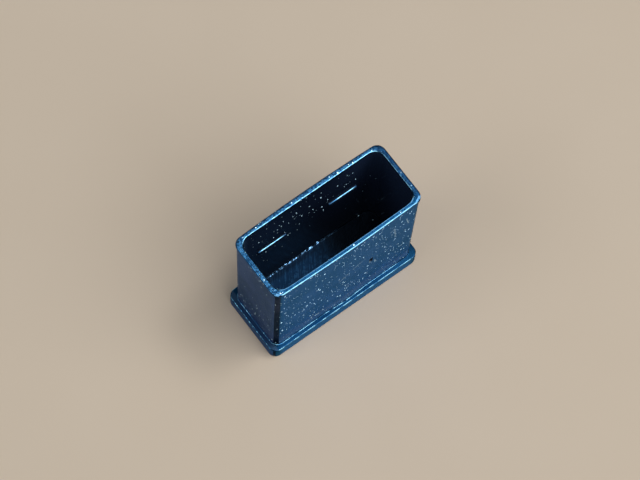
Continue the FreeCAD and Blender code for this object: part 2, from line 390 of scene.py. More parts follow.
# %% [markdown]
# ## Soft edges
# No edge of a moulding is quite sharp. Each loop of edges is found by its height, by the sharp angle of its
# faces and by being hollow or proud, and gets a bevel of its own radius. These small rounds catch the
# light, so they matter more to the look than their size says.

# %% Round the loops of edges
SHARP = math.radians(60)
ROUND_STEPS = 6
BASE_ROUND, FLANGE_ROUND, ROOT_FILLET = 0.15, 0.08, 0.06
OUTER_RIM_ROUND, INNER_RIM_ROUND, FLOOR_FILLET = 0.26, 0.09, 0.08
END_MARGIN, SIDE_MARGIN = 0.08, 0.03


def is_outside(point):
    """A point that lies beyond the cavity's outline."""
    beyond_end = abs(point.x) > CAVITY_LENGTH / 2 + END_MARGIN
    return beyond_end or abs(point.y) > CAVITY_WIDTH / 2 + INNER_CROWN + SIDE_MARGIN


def round_loop(piece, height, proud, outside, radius):
    """Rounds the sharp edges at a height, proud or hollow ones, outside, inside or (None) both."""
    def is_loop_edge(edge):
        level = all(abs(v.co.z - height) < TINY for v in edge.verts)
        right_side = outside is None or is_outside(edge.verts[0].co) == outside
        return level and right_side and edge.calc_face_angle(0) > SHARP and edge.is_convex == proud

    count = pick(piece, "EDGE", is_loop_edge)
    bpy.ops.mesh.bevel(offset=radius, segments=ROUND_STEPS, affect="EDGES", clamp_overlap=True)
    return count


bpy.ops.object.mode_set(mode="EDIT")
for height, proud, outside, radius in (
    (0, True, None, BASE_ROUND),
    (FLANGE_TOP, False, None, ROOT_FILLET),
    (FLANGE_TOP, True, None, FLANGE_ROUND),
    (CAP_HEIGHT, True, True, OUTER_RIM_ROUND),
    (CAP_HEIGHT, True, False, INNER_RIM_ROUND),
    (FLOOR_TOP, False, None, FLOOR_FILLET),
):
    rounded = round_loop(cap, height, proud, outside, radius)
    print(f"rounded {rounded} edges at {height:.2f} mm by {radius:.2f} mm")
bpy.ops.object.mode_set(mode="OBJECT")

# %% [markdown]
# ## Grip ridges
# Four low ridges inside the long walls snap into the windows of the plug's metal shell. Two level cuts mark
# each ridge's band on the wall, the face between the cuts is extruded inwards, and a bevel on all its edges
# turns the block into a soft rib.

# %% Raise the four ridges
RIDGE_HEIGHT = CAP_HEIGHT - 5.0
RIDGE_HALF_BAND = 0.22
RIDGE_RISE = 0.20
RIDGE_ROUND, RIDGE_STEPS = 0.19, 5
SQUARE_ON = 0.9


def on_ridge(point, side, slack):
    """A point on the inner long wall of a side, within the length of one of its ridges."""
    along = abs(abs(point.x) - RIDGE_SPACING / 2) < RIDGE_LENGTH / 2 + slack
    return along and point.y * side > 0 and abs(point.y) < CAVITY_WIDTH / 2 + INNER_CROWN


def raise_ridges(piece, side):
    """Cuts, extrudes and rounds the two ridges on the inner long wall of a side."""
    def is_wall_column(face):
        centre = face.calc_center_median()
        return on_ridge(centre, side, 0) and face.normal.y * side < -SQUARE_ON and centre.z > FLANGE_TOP

    for edge_height in (RIDGE_HEIGHT - RIDGE_HALF_BAND, RIDGE_HEIGHT + RIDGE_HALF_BAND):
        pick(piece, "FACE", is_wall_column)
        bpy.ops.mesh.bisect(plane_co=(0, 0, edge_height), plane_no=(0, 0, 1), threshold=TINY)

    def is_band(face):
        off = face.calc_center_median().z - RIDGE_HEIGHT
        return is_wall_column(face) and abs(off) < RIDGE_HALF_BAND

    pick(piece, "FACE", is_band)
    bpy.ops.mesh.extrude_region_move(TRANSFORM_OT_translate={"value": (0, -side * RIDGE_RISE, 0)})

    def is_crest_edge(edge):
        raised = all(abs(v.co.y) < CAVITY_WIDTH / 2 - RIDGE_RISE / 2 for v in edge.verts)
        middle = (edge.verts[0].co + edge.verts[1].co) / 2
        near = abs(middle.z - RIDGE_HEIGHT) < 2 * RIDGE_HALF_BAND
        return raised and near and on_ridge(middle, side, RIDGE_RISE)

    count = pick(piece, "EDGE", is_crest_edge)
    bpy.ops.mesh.bevel(offset=RIDGE_ROUND, segments=RIDGE_STEPS, affect="EDGES", clamp_overlap=True)
    return count


bpy.ops.object.mode_set(mode="EDIT")
crest_edges = [raise_ridges(cap, side) for side in (-1, 1)]
bpy.ops.object.mode_set(mode="OBJECT")
print("crest edges rounded on each wall:", crest_edges)

# %% [markdown]
# ## A small dent
# Something has pressed a narrow pit into the near wall, right of its middle. Four cuts mark a face there, a
# bevel of its corners makes it oval, and an inset that also sinks gives it sloping sides.

# %% Press the pit
PIT_LEFT, PIT_RIGHT, PIT_LOW, PIT_HIGH = 1.96, 2.28, 6.50, 7.25
PIT_CORNER, PIT_SLOPE, PIT_DEPTH = 0.14, 0.06, 0.10
PIT_STEPS = 3
LARGE_FACE = 1.0


def is_near_wall(face, left, right):
    """A face of the outer near wall whose middle lies between two places along the wall."""
    middle = face.calc_center_median()
    outer = middle.y < -CAVITY_WIDTH / 2 - INNER_CROWN
    return outer and face.normal.y < -SQUARE_ON and left < middle.x < right


def in_pit(face):
    """The face whose middle is the middle of the four cuts."""
    off = face.calc_center_median() - Vector(((PIT_LEFT + PIT_RIGHT) / 2, 0, (PIT_LOW + PIT_HIGH) / 2))
    return is_near_wall(face, PIT_LEFT, PIT_RIGHT) and max(abs(off.x), abs(off.z)) < PIT_CORNER / 4


def press_pit(piece):
    """Cuts a small face out of the near wall and sinks it."""
    for place, direction in (
        ((PIT_LEFT, 0, 0), (1, 0, 0)),
        ((PIT_RIGHT, 0, 0), (1, 0, 0)),
        ((0, 0, PIT_LOW), (0, 0, 1)),
        ((0, 0, PIT_HIGH), (0, 0, 1)),
    ):
        across = direction[0] == 1
        left, right = (ridge_ends[2], ridge_ends[3]) if across else (PIT_LEFT, PIT_RIGHT)
        pick(piece, "FACE", lambda face: is_near_wall(face, left, right) and face.calc_area() > LARGE_FACE)
        bpy.ops.mesh.bisect(plane_co=place, plane_no=direction, threshold=TINY)
    pick(piece, "FACE", in_pit)
    bpy.ops.mesh.bevel(offset=PIT_CORNER, segments=PIT_STEPS, affect="VERTICES")
    count = pick(piece, "FACE", in_pit)
    bpy.ops.mesh.inset(thickness=PIT_SLOPE, depth=-PIT_DEPTH)
    return count


bpy.ops.object.mode_set(mode="EDIT")
pressed = press_pit(cap)
bpy.ops.object.mode_set(mode="OBJECT")
print("faces pressed in:", pressed)

# %% [markdown]
# ## Down to size, and smooth shading
# The mesh is shrunk from millimetres to the frame's metres. Weighted normals let the broad flat faces stay
# flat and leave all the turning of the light to the rounds.

# %% Smooth the skin
SMOOTH_ANGLE = math.radians(35)
MOST_WEIGHT = 100


def shrink_to_metres(piece):
    """Scales a mesh that was modelled in millimetres, and leaves its object unscaled."""
    bpy.ops.object.select_all(action="DESELECT")
    piece.select_set(True)
    bpy.context.view_layer.objects.active = piece
    piece.scale = (MM, MM, MM)
    bpy.ops.object.transform_apply(location=True, rotation=True, scale=True)


def smooth_skin(piece):
    """Smooths the shading by angle and weights the normals by the faces' areas."""
    bpy.ops.object.shade_smooth_by_angle(angle=SMOOTH_ANGLE)
    bpy.ops.object.modifier_add(type="WEIGHTED_NORMAL")
    weighted = piece.modifiers[-1]
    weighted.weight = MOST_WEIGHT
    weighted.keep_sharp = True
    bpy.ops.object.modifier_apply(modifier=weighted.name)


shrink_to_metres(cap)
smooth_skin(cap)
print("cap:", len(cap.data.polygons), "faces")

# %% [markdown]
# ## Tools for the finishes
# The finish of the cap is built from shader nodes alone, and a few helpers keep that short. A mask is a
# value from nothing to all that says where something is. Many masks follow the shape of the cap, so each of
# those is a named zone that starts at one place along X, Y or Z and is full at another, in millimetres.

# %% Make the tools for masks
ZONES = {}


def plug(tree, socket, value):
    """Links an output to an input, or sets a plain value there."""
    if isinstance(value, bpy.types.NodeSocket):
        tree.links.new(value, socket)
    else:
        socket.default_value = value


def calculate(tree, operation, *values, clamp=False):
    """The result of a Math node whose values are numbers or outputs."""
    maths = add_node(tree, "ShaderNodeMath", operation=operation, use_clamp=clamp)
    for socket, value in zip(maths.inputs, values):
        plug(tree, socket, value)
    return maths.outputs["Value"]


def times(tree, first, *others):
    """The product of some masks."""
    for other in others:
        first = calculate(tree, "MULTIPLY", first, other)
    return first


def largest(tree, first, *others):
    """The largest of some masks, so the place that any of them covers."""
    for other in others:
        first = calculate(tree, "MAXIMUM", first, other)
    return first


def rest_of(tree, mask):
    """What a mask leaves over."""
    return calculate(tree, "SUBTRACT", 1.0, mask, clamp=True)


def ease(tree, mask, change, start):
    """A value that begins at start and changes by so much where the mask is all."""
    return calculate(tree, "MULTIPLY_ADD", mask, change, start)


def fade(tree, value, start, end):
    """A smooth step of a value: nothing at start, all at end."""
    step = add_node(tree, "ShaderNodeMapRange", interpolation_type="SMOOTHSTEP")
    step.inputs["From Min"].default_value = min(start, end)
    step.inputs["From Max"].default_value = max(start, end)
    if start > end:
        step.inputs["To Min"].default_value = 1
        step.inputs["To Max"].default_value = 0
    tree.links.new(value, step.inputs["Value"])
    return step.outputs["Result"]


def zone(tree, parts, *names):
    """The place that lies in all of some named zones."""
    masks = [fade(tree, parts[ZONES[name][0]], *ZONES[name][1:]) for name in names]
    return times(tree, *masks)


print("mask tools:", [tool.__name__ for tool in (calculate, times, largest, rest_of, ease, fade, zone)])

# %% [markdown]
# ## Places and colours
# A finish has to know where on the cap it is. It reads the object's own coordinates, so a pattern stays put
# when the camera moves. They are scaled to millimetres and split into the parts that the zones read.
# Colours are blended by masks, one layer over another, as coats of paint would be.

# %% Make the tools for places and colours
PER_METRE = 1000


def calculate_vector(tree, operation, *values, output="Vector"):
    """The result of a Vector Math node whose values are vectors, numbers or outputs."""
    maths = add_node(tree, "ShaderNodeVectorMath", operation=operation)
    for socket, value in zip(maths.inputs, values):
        plug(tree, socket, value)
    return maths.outputs[output]


def scale_vector(tree, vector, by):
    """A vector made longer or shorter."""
    scaled = add_node(tree, "ShaderNodeVectorMath", operation="SCALE")
    plug(tree, scaled.inputs["Vector"], vector)
    plug(tree, scaled.inputs["Scale"], by)
    return scaled.outputs["Vector"]


def split(tree, vector):
    """The three parts of a vector."""
    parts = add_node(tree, "ShaderNodeSeparateXYZ")
    feed(tree, parts, Vector=vector)
    return parts.outputs


def place_in_mm(tree):
    """Where a point lies on the cap, in millimetres."""
    coordinates = add_node(tree, "ShaderNodeTexCoord")
    return scale_vector(tree, coordinates.outputs["Object"], PER_METRE)


def place_and_sizes(tree, place):
    """The three parts of a place, and the same without their signs."""
    return split(tree, place), split(tree, calculate_vector(tree, "ABSOLUTE", place))


def blend_colours(tree, mask, first, second):
    """The first colour where the mask is nothing and the second where it is all."""
    mix = add_node(tree, "ShaderNodeMix", data_type="RGBA")
    plug(tree, mix.inputs["Factor"], mask)
    colours = [socket for socket in mix.inputs if socket.type == "RGBA"]
    for socket, value in zip(colours, (first, second)):
        plug(tree, socket, value)
    return next(socket for socket in mix.outputs if socket.type == "RGBA")


print("place and colour tools:", [tool.__name__ for tool in (place_in_mm, split, blend_colours)])

# %% [markdown]
# ## The grain of the moulding
# Three effects come back in several finishes, so each is a node group that is built once. The first is the
# look of moulded plastic close up: slow clouds and a fine grain, two noises of very different sizes.

# %% Build the grain
FLOAT, VECTOR = "NodeSocketFloat", "NodeSocketVector"
CLOUD = {"Scale": 0.45, "Detail": 3.0}
FINE_GRAIN = {"Detail": 2.0, "Roughness": 0.6}


def new_effect(name, inputs, outputs):
    """An empty node group with named inputs and outputs, each with its kind."""
    effect = bpy.data.node_groups.new(name, "ShaderNodeTree")
    for direction, sockets in (("INPUT", inputs), ("OUTPUT", outputs)):
        for label, kind in sockets.items():
            effect.interface.new_socket(label, in_out=direction, socket_type=kind)
    entry = effect.nodes.new("NodeGroupInput")
    leave = effect.nodes.new("NodeGroupOutput")
    return effect, entry.outputs, leave


def make_grain_effect():
    """Slow clouds and a fine grain, as moulded plastic has."""
    effect, given, result = new_effect(
        "moulded_grain", {"Place": VECTOR, "Fineness": FLOAT}, {"Cloud": FLOAT, "Grain": FLOAT}
    )
    cloud = add_node(effect, "ShaderNodeTexNoise", CLOUD)
    grain = add_node(effect, "ShaderNodeTexNoise", FINE_GRAIN)
    feed(effect, cloud, Vector=given["Place"])
    feed(effect, grain, Vector=given["Place"], Scale=given["Fineness"])
    feed(effect, result, Cloud=cloud.outputs["Fac"], Grain=grain.outputs["Fac"])
    return effect


GRAIN = make_grain_effect()
print("built", GRAIN.name, "with", len(GRAIN.nodes), "nodes")

# %% [markdown]
# ## Specks of dust
# A pattern of cells gives each speck its place and three random draws: for its size, its paleness and the
# way it leans. A grain of dust is a small lump that shows its upper side, so its shading is turned upwards
# and it glints as the real dust does.

# %% Build the dust
FEW_LARGE_ONES = 1.6
SOFT_EDGE = 0.12
PALE_SPREAD, LEAST_PALE = 0.55, 0.45
GRAIN_SWAY, GRAIN_LIFT = 2.4, 2.2


def make_dust_effect():
    """Grains of uneven size, paleness and tilt. Cover is the share of places that hold one."""
    effect, given, result = new_effect(
        "dust_specks",
        {"Place": VECTOR, "Per mm": FLOAT, "Cover": FLOAT, "Radius": FLOAT},
        {"Mask": FLOAT, "Pale": FLOAT, "Tilt": VECTOR},
    )
    cells = add_node(effect, "ShaderNodeTexVoronoi")
    feed(effect, cells, Vector=given["Place"], Scale=given["Per mm"])
    draw = add_node(effect, "ShaderNodeSeparateColor")
    feed(effect, draw, Color=cells.outputs["Color"])
    size_draw, pale_draw, sway_draw = draw.outputs
    above = calculate(effect, "SUBTRACT", size_draw, rest_of(effect, given["Cover"]))
    share = calculate(effect, "DIVIDE", above, given["Cover"], clamp=True)
    luck = calculate(effect, "POWER", share, FEW_LARGE_ONES)
    reach = times(effect, given["Radius"], given["Per mm"])
    depth = calculate(effect, "SUBTRACT", times(effect, luck, reach), cells.outputs["Distance"])
    mask = calculate(effect, "DIVIDE", depth, times(effect, reach, SOFT_EDGE), clamp=True)
    pale = times(effect, mask, ease(effect, pale_draw, PALE_SPREAD, LEAST_PALE))
    lean = add_node(effect, "ShaderNodeCombineXYZ", {"Z": GRAIN_LIFT})
    feed(effect, lean, X=ease(effect, sway_draw, GRAIN_SWAY, -GRAIN_SWAY / 2))
    tilt = scale_vector(effect, lean.outputs["Vector"], mask)
    feed(effect, result, Mask=mask, Pale=pale, Tilt=tilt)
    return effect


DUST = make_dust_effect()
print("built", DUST.name, "with", len(DUST.nodes), "nodes")

# %% [markdown]
# ## Worn marks
# The scratches, the scuffs and the thicker patches of dust all lie along short lines. A point's distance
# from such a line makes a soft mark, so one effect can draw them all.

# %% Build the mark along a line
def make_mark_effect():
    """A soft mark along a line from Start to End, or a round one where they are the same place."""
    effect, given, result = new_effect(
        "worn_mark",
        {"Place": VECTOR, "Start": VECTOR, "End": VECTOR, "Radius": FLOAT},
        {"Mask": FLOAT},
    )
    run = calculate_vector(effect, "SUBTRACT", given["End"], given["Start"])
    away = calculate_vector(effect, "SUBTRACT", given["Place"], given["Start"])
    along = calculate_vector(effect, "DOT_PRODUCT", away, run, output="Value")
    whole = calculate_vector(effect, "DOT_PRODUCT", run, run, output="Value")
    share = calculate(effect, "DIVIDE", along, whole, clamp=True)
    gap = calculate_vector(effect, "SUBTRACT", away, scale_vector(effect, run, share))
    distance = calculate_vector(effect, "LENGTH", gap, output="Value")
    depth = calculate(effect, "DIVIDE", distance, given["Radius"])
    feed(effect, result, Mask=rest_of(effect, depth))
    return effect


MARK = make_mark_effect()
print("built", MARK.name, "with", len(MARK.nodes), "nodes")

# %% [markdown]
# ## Dust and scratches
# Pale dust lies mostly on the near long wall, thicker in a few patches. That wall also has a long broken
# scratch and two scuffs near its right end. The marks are drawn as lines on the wall, and the dust is one
# effect used twice, for fine and for coarse grains, a little longer upwards than along the wall.

# %% Lay out the dust and the scratches
DUST_PALE = (0.56, 0.85, 1.0, 1)
DUST_STRETCH = (1.0, 1.0, 0.6)
DUST_SHINE = 0.5
FINE_DUST, COARSE_DUST = {"Per mm": 12.0, "Radius": 0.060}, {"Per mm": 7.5, "Radius": 0.08}
NEAR_COVER, PATCH_COVER, STRAY_COVER, FINE_SHARE = 0.135, 0.10, 0.01, 0.5
NEAR_Y = -2.65
FLAT_TO_WALL = (1.0, 0.2, 1.0)
# The lines of the marks: x and z of their two ends on the near wall, and their radius.
SCRATCHES = [
    (-0.79, 6.92, -0.08, 7.49, 0.07),
    (0.46, 7.70, 1.54, 8.10, 0.07),
    (3.69, 10.07, 4.03, 10.35, 0.09),
    (4.03, 10.35, 4.25, 8.31, 0.09),
    (5.08, 10.74, 5.35, 9.48, 0.08),
    (2.45, 6.30, 2.62, 5.85, 0.09),
]
DUST_PATCHES = [
    (0.61, 4.77, 0.75, 4.77, 0.55),
    (3.79, 5.52, 3.79, 5.52, 0.60),
    (5.37, 3.90, 5.37, 3.90, 0.60),
    (4.71, 6.15, 4.71, 6.15, 0.60),
    (2.10, 6.90, 2.60, 5.90, 0.60),
    (4.10, 10.0, 4.30, 8.60, 0.70),
]
ZONES["above the foot"] = ("Z", FLANGE_TOP + 0.1, FLANGE_TOP + 0.5)


def use_effect(tree, effect, place, inputs=None, **sources):
    """Places a shared effect in a material with its own values."""
    group = add_node(tree, "ShaderNodeGroup", node_tree=effect)
    tree.links.new(place, group.inputs["Place"])
    for name, value in (inputs or {}).items():
        group.inputs[name].default_value = value
    feed(tree, group, **sources)
    return group.outputs


def draw_marks(tree, place, marks):
    """The marks of a list on the near wall."""
    flat = calculate_vector(tree, "MULTIPLY", place, FLAT_TO_WALL)
    level = NEAR_Y * FLAT_TO_WALL[1]
    masks = []
    for x1, z1, x2, z2, radius in marks:
        ends = {"Start": (x1, level, z1), "End": (x2, level, z2), "Radius": radius}
        masks.append(use_effect(tree, MARK, flat, ends)["Mask"])
    return largest(tree, *masks)


def spread_dust(tree, place, inputs, **sources):
    """Grains of dust that are longer upwards."""
    stretched = calculate_vector(tree, "MULTIPLY", place, DUST_STRETCH)
    return use_effect(tree, DUST, stretched, inputs, **sources)


def wall_dust(tree, place, near_wall):
    """Fine and coarse dust, most of it on the near wall above the foot and thickest in the patches."""
    patches = ease(tree, draw_marks(tree, place, DUST_PATCHES), PATCH_COVER, STRAY_COVER)
    thick = ease(tree, near_wall, NEAR_COVER, patches)
    cover = times(tree, thick, zone(tree, split(tree, place), "above the foot"))
    fine = spread_dust(tree, place, FINE_DUST, Cover=times(tree, cover, FINE_SHARE))
    coarse = spread_dust(tree, place, COARSE_DUST, Cover=cover)
    mask, pale = [largest(tree, fine[name], coarse[name]) for name in ("Mask", "Pale")]
    return mask, pale, calculate_vector(tree, "ADD", fine["Tilt"], coarse["Tilt"])


print("laid out", len(SCRATCHES), "scratches and", len(DUST_PATCHES), "patches of dust")

# %% [markdown]
# ## How a finish starts and ends
# Every finish starts as one shader with a tint for glancing angles, and ends with a bump that turns its
# shading. What is the same all over is set on the shader itself, because an export may drop a linked value.

# %% Make the tools for a finish
def new_finish(name, tint, metallic=1.0):
    """A material with its tree and its shader, the values that are the same all over set on the shader."""
    finish = bpy.data.materials.new(name)
    finish.use_nodes = True
    shader = finish.node_tree.nodes["Principled BSDF"]
    shader.inputs["Metallic"].default_value = metallic
    shader.inputs["Specular Tint"].default_value = tint
    return finish, finish.node_tree, shader


def bump_from(tree, shader, height, depth_mm, tilt=None):
    """Lets a height pattern of a given depth turn the shading, and a tilt turn it further."""
    bump = add_node(tree, "ShaderNodeBump", {"Distance": depth_mm * MM})
    feed(tree, bump, Height=height)
    normal = bump.outputs["Normal"]
    if tilt:
        turned = calculate_vector(tree, "ADD", normal, tilt)
        normal = calculate_vector(tree, "NORMALIZE", turned)
    feed(tree, shader, Normal=normal)


print("finish tools:", [tool.__name__ for tool in (new_finish, bump_from)])

# %% [markdown]
# ## The outer skin
# Outside, the cap is a dark slate blue that shines like lacquer: it takes its colour mostly from what it
# mirrors. So the shader is a metallic one with a dark blue tint, a little cloudy and grainy. The foot is a
# clearer blue. The ledge is painted darker as painted shade, a little lighter at its left end as painted
# light, the upright corners carry painted shade, and the lower near wall is made matt and painted a plainer
# blue, painted light that hides the ledge's dark reflection there.

# %% Mix the outer skin
WALL_DARK, WALL_LIGHT = (0.040, 0.088, 0.265, 1), (0.070, 0.142, 0.400, 1)
FOOT_BLUE = (0.052, 0.155, 0.410, 1)
# The ledge's colours are painted shade, lighter at the left end as painted light.
LEDGE_DARK, LEDGE_LEFT = (0.007, 0.052, 0.125, 1), (0.044, 0.105, 0.200, 1)
# Painted light: a matt, plainer blue for the lower near wall in place of the ledge's dark reflection.
LOW_WALL = (0.048, 0.145, 0.320, 1)
# Painted shade on the upright corners.
CORNER_SHADE = (0.010, 0.014, 0.024, 1)
SKIN_TINT = (0.395, 0.72, 1.0, 1)
SKIN_FINENESS = {"Fineness": 9.0}
SKIN_CLOUDS, SKIN_ROUGHNESS, SKIN_BUMP_MM = (2.2, -1.1), (0.2, 0.28), 0.004
SCRATCH_BREAKS = (0.40, 0.62)
CORNER_SHARE, LOW_MATT = 0.7, 0.6
ZONES |= {
    "near wall": ("Y", -2.3, -2.55),
    "foot": ("Z", FLANGE_TOP, FLANGE_TOP - 0.06),
    "ledge from below": ("Z", FLANGE_TOP - 0.05, FLANGE_TOP - 0.01),
    "ledge from above": ("Z", FLANGE_TOP + 0.30, FLANGE_TOP + 0.03),
    "left ledge": ("X", -6.15, -6.30),
    "low wall": ("Z", 3.2, 1.7),
    "above the root": ("Z", FLANGE_TOP + 0.03, FLANGE_TOP + 0.10),
    "corner along": ("X", 5.75, 6.25),
    "corner across": ("Y", 1.85, 2.40),
}


def mix_outer_skin():
    """The finish of the outside walls and the foot."""
    finish, tree, shader = new_finish("outer_skin", SKIN_TINT)
    place = place_in_mm(tree)
    where, size = place_and_sizes(tree, place)
    grain = use_effect(tree, GRAIN, place, SKIN_FINENESS)
    near_wall = zone(tree, where, "near wall")
    dust, dust_pale, tilt = wall_dust(tree, place, near_wall)
    broken = fade(tree, grain["Grain"], *SCRATCH_BREAKS)
    scratch = times(tree, draw_marks(tree, place, SCRATCHES), broken)
    low = times(tree, zone(tree, where, "low wall", "above the root"), near_wall)
    ledge = zone(tree, where, "ledge from below", "ledge from above")
    corner = times(tree, zone(tree, size, "corner along", "corner across"), CORNER_SHARE)

    clouds = ease(tree, grain["Cloud"], *SKIN_CLOUDS)
    shade = calculate(tree, "ADD", grain["Grain"], clouds, clamp=True)
    colour = blend_colours(tree, shade, WALL_DARK, WALL_LIGHT)
    colour = blend_colours(tree, zone(tree, where, "foot"), colour, FOOT_BLUE)
    # Painted light and shade: the lower near wall, the upright corners and the ledge.
    colour = blend_colours(tree, low, colour, LOW_WALL)
    colour = blend_colours(tree, corner, colour, CORNER_SHADE)
    ledge_colour = blend_colours(tree, zone(tree, where, "left ledge"), LEDGE_DARK, LEDGE_LEFT)
    colour = blend_colours(tree, ledge, colour, ledge_colour)
    colour = blend_colours(tree, largest(tree, dust_pale, scratch), colour, DUST_PALE)
    matt = ease(tree, dust, 1 - DUST_SHINE, times(tree, low, LOW_MATT))
    shine = rest_of(tree, largest(tree, matt, scratch))
    roughness = ease(tree, grain["Grain"], *SKIN_ROUGHNESS)
    feed(tree, shader, Base_Color=colour, Metallic=shine, Roughness=roughness)
    bump_from(tree, shader, grain["Grain"], SKIN_BUMP_MM, tilt)
    return finish


outer_skin = mix_outer_skin()
print("mixed", outer_skin.name, "with", len(outer_skin.node_tree.nodes), "nodes")

# %% [markdown]
# ## The duller places
# The left end is painted greyer than the long walls and its foot a deeper blue, both as painted shade. Each
# upright corner carries a strip of painted shade, the pit is painted dark as shade in a hollow, and the
# rim's far and right sides end in a dark outline of painted shade. A shader's tint at glancing angles can't
# change along a surface, so each needs a finish of its own. They come from one recipe, mottled and dusty.

# %% Mix the left end, the corners and the rim's outline
# The left end's colours are painted shade.
END_DARK, END_LIGHT = (0.026, 0.042, 0.124, 1), (0.050, 0.071, 0.200, 1)
# END_LOW lightens the lower part of the left end, as painted light.
END_LOW = (0.110, 0.145, 0.270, 1)
END_TINT = (0.54, 0.73, 1.0, 1)
# The left side of the foot gets a deeper blue of painted shade.
FOOT_DARK, FOOT_LIGHT = (0.016, 0.038, 0.130, 1), (0.034, 0.078, 0.220, 1)
FOOT_TINT = (0.49, 0.67, 1.0, 1)
# Painted shade for the upright corners and the pit.
CORNER_DARK, CORNER_LIGHT = (0.014, 0.020, 0.034, 1), (0.045, 0.055, 0.090, 1)
CORNER_TINT = (0.43, 0.48, 0.57, 1)
# Painted shade for the outline of the rim's far and right sides.
OUTLINE_BLACK, OUTLINE_NAVY = (0.003, 0.010, 0.024, 1), (0.008, 0.034, 0.080, 1)
OUTLINE_TINT = (0.36, 0.45, 0.64, 1)
# Each finish's tint, darkest and lightest colour, colour at the foot, cover of dust and shine.
DULL_RECIPES = {
    "end_painted_shade": (END_TINT, END_DARK, END_LIGHT, END_LOW, 0.21, 1),
    "foot_end": (FOOT_TINT, FOOT_DARK, FOOT_LIGHT, FOOT_LIGHT, 0.05, 1),
    "corner_and_pit_painted_shade": (CORNER_TINT, CORNER_DARK, CORNER_LIGHT, CORNER_DARK, 0.25, 1),
    "rim_outline_painted_shade": (OUTLINE_TINT, OUTLINE_BLACK, OUTLINE_NAVY, OUTLINE_BLACK, 0.1, 0),
}
DULL_FINENESS = {"Fineness": 4.0}
DULL_CLOUDS, DULL_ROUGHNESS, DULL_BUMP_MM = (1.6, -0.8), (0.2, 0.25), 0.006
DULL_MOTTLE = (0.32, 0.68)
DULL_DUST = {"Per mm": 6.5, "Radius": 0.075}
DULL_GLOSS = 0.1


def mix_dull_skin(name, tint, darkest, lightest, low, dusty, shine):
    """A dull, mottled finish with some dust, metallic between the grains where it has a shine."""
    finish, tree, shader = new_finish(name, tint, metallic=shine)
    place = place_in_mm(tree)
    grain = use_effect(tree, GRAIN, place, DULL_FINENESS)
    clouds = ease(tree, grain["Cloud"], *DULL_CLOUDS)
    shade = fade(tree, calculate(tree, "ADD", grain["Grain"], clouds), *DULL_MOTTLE)
    colour = blend_colours(tree, shade, darkest, lightest)
    colour = blend_colours(tree, zone(tree, split(tree, place), "low wall"), colour, low)
    dust = spread_dust(tree, place, {**DULL_DUST, "Cover": dusty})
    feed(tree, shader, Base_Color=blend_colours(tree, dust["Pale"], colour, DUST_PALE))
    if shine:
        feed(tree, shader, Metallic=rest_of(tree, dust["Mask"]))
    feed(tree, shader, Roughness=ease(tree, grain["Grain"], *DULL_ROUGHNESS))
    shader.inputs["Specular IOR Level"].default_value = DULL_GLOSS
    bump_from(tree, shader, grain["Grain"], DULL_BUMP_MM)
    return finish


dull_skins = {name: mix_dull_skin(name, *recipe) for name, recipe in DULL_RECIPES.items()}
print("mixed", list(dull_skins))

# %% [markdown]
# ## Where the rounds stay dull
# The rounds of the rim, the foot and the ridges draw thin bright lines, but not everywhere: a patchy
# pattern breaks the lines into dashes and dots, and painted shade keeps some sides dark. Each kind of dull
# place is a mask made of zones and of the patches of a noise pattern. All of them are joined into one mask
# for the rounds' painted highlight.

# %% Find the dull places of the rim and the root
RIM_PATCHES = (-0.12, 1.0)
ZONES |= {
    "rim": ("Z", 11.0, 12.0),
    "outer round of a side": ("Y", 2.50, 2.54),
    "outer round of an end": ("X", 6.22, 6.30),
    "past the left corner": ("X", -5.8, -6.1),
    "away from the near side": ("Y", -2.40, -2.00),
    "top of the rim": ("Z", CAP_HEIGHT - 0.018, CAP_HEIGHT - 0.009),
    "root": ("Z", FLANGE_TOP + 0.30, FLANGE_TOP + 0.15),
    "inside the foot's edge": ("Y", 2.80, 2.72),
    "right end of the root": ("X", 4.4, 5.2),
    "middle of the root from the left": ("X", -4.8, -4.2),
    "middle of the root from the right": ("X", 2.2, 1.4),
}


def dull_rim(tree, where, size, patch_pattern):
    """Painted shade on the outer rounds of the rim away from the near side, and in a line along the top of
    the near one.
    """
    outer = largest(
        tree, zone(tree, size, "outer round of a side"), zone(tree, size, "outer round of an end")
    )
    not_near = largest(
        tree, zone(tree, where, "away from the near side"), zone(tree, where, "past the left corner")
    )
    patchy = times(tree, not_near, ease(tree, patch_pattern, *RIM_PATCHES))
    dull = largest(tree, patchy, zone(tree, where, "top of the rim"))
    return times(tree, outer, zone(tree, where, "rim"), dull)


def dull_root(tree, where, size, patch_pattern):
    """The parts of the root line that don't shine: patches of its middle, and its right end, which is
    painted shade.
    """
    root = times(tree, zone(tree, where, "root"), zone(tree, size, "inside the foot's edge"))
    middle = zone(tree, where, "middle of the root from the left", "middle of the root from the right")
    patches = times(tree, middle, rest_of(tree, patch_pattern))
    return times(tree, root, largest(tree, zone(tree, where, "right end of the root"), patches))


print("zones named so far:", len(ZONES))

# %% [markdown]
# ## Dotted ends and fading ridges
# At the ends of the cap the lines are broken into dots, and the line on each ridge fades out before the
# ridge ends. One small gap lies at the near left corner of the foot. A finer grain gives the dots.

# %% Find the other dull places
GAP_AT, GAP_RADIUS, GAP_EDGE = (-6.45, -2.78, FLANGE_TOP), 0.4, (0.1, 0.5)
DOT_FINENESS, DOTS = {"Fineness": 4.5}, (0.50, 0.62)
FOOT_PATCHES, END_PATCHES = (-0.4, 0.6), (-0.35, 0.9)
FOOT_DOTS, CORNER_DOTS = (-0.9, 1.0), (-0.6, 0.95)
RIDGE_REACH = (0.8, 0.6)
ZONES |= {
    "left end of the foot": ("X", -6.15, -6.35),
    "foot and root": ("Z", 2.0, 1.6),
    "near edge of the foot": ("Y", -2.80, -2.84),
    "right end of the rim": ("X", 5.8, 6.1),
    "left end of the rim": ("X", -5.3, -5.7),
    "behind the near line": ("Y", -2.30, -2.00),
    "right corner": ("X", 5.75, 6.05),
    "near corner": ("Y", -1.3, -1.8),
    "ridge from its middle end": ("X", 1.95, 2.70),
    "ridge from its outer end": ("X", 4.43, 4.00),
}


